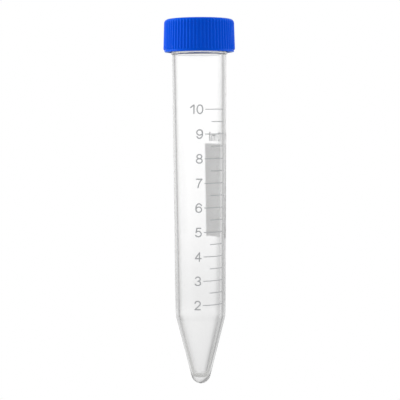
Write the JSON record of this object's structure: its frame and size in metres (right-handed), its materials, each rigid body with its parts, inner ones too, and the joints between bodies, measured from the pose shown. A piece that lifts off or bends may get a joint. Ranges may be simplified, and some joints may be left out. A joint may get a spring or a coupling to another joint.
{
  "type": "screw-cap test tube",
  "caption": "Translucent plastic test tube with a conical bottom, a printed millilitre scale and a ribbed blue screw cap.",
  "frame": {"origin": "on the tube's axis at the foot of the tip", "axes": "+Z along the tube's axis towards the cap, -Y towards the printed scale"},
  "size_m": [0.0212, 0.0212, 0.1095],
  "materials": {
    "polypropylene": "translucent, natural polypropylene, smooth moulded",
    "blue_cap": "opaque blue polyethylene, satin moulded",
    "foam": "closed-cell foam, matt",
    "grey_ink": "printed grey ink",
    "white_ink": "printed white ink, matt"
  },
  "bodies": {
    "tube": {"tube_body": "polypropylene", "mark_02_0_ml": "grey_ink", "mark_02_5_ml": "grey_ink", "mark_03_0_ml": "grey_ink", "mark_03_5_ml": "grey_ink", "mark_04_0_ml": "grey_ink", "mark_04_5_ml": "grey_ink", "mark_05_0_ml": "grey_ink", "mark_05_5_ml": "grey_ink", "mark_06_0_ml": "grey_ink", "mark_06_5_ml": "grey_ink", "mark_07_0_ml": "grey_ink", "mark_07_5_ml": "grey_ink", "mark_08_0_ml": "grey_ink", "mark_08_5_ml": "grey_ink", "mark_09_0_ml": "grey_ink", "mark_09_5_ml": "grey_ink", "mark_10_0_ml": "grey_ink", "numeral_2": "grey_ink", "numeral_3": "grey_ink", "numeral_4": "grey_ink", "numeral_5": "grey_ink", "numeral_6": "grey_ink", "numeral_7": "grey_ink", "numeral_8": "grey_ink", "numeral_9": "grey_ink", "numeral_10_tens": "grey_ink", "numeral_10_units": "grey_ink", "unit_l": "grey_ink", "unit_m": "grey_ink", "unit_0": "grey_ink", "unit_1": "grey_ink", "writing_patch": "white_ink"},
    "liner": {"sealing_liner": "foam"},
    "cap": {"screw_cap": "blue_cap"}
  },
  "joints": [
    {"name": "cap_lift", "type": "slide", "parent": "tube", "child": "liner", "axis": [0, 0, 1], "range_m": [0, 0.012]},
    {"name": "cap_turn", "type": "hinge", "parent": "liner", "child": "cap", "pos_m": [0, 0, 0.104], "axis": [0, 0, 1], "range_deg": [0, 1340]}
  ],
  "couplings": [
    {"joint": "cap_lift", "follows": "cap_turn", "m_per_rad": 0.0005093}
  ]
}
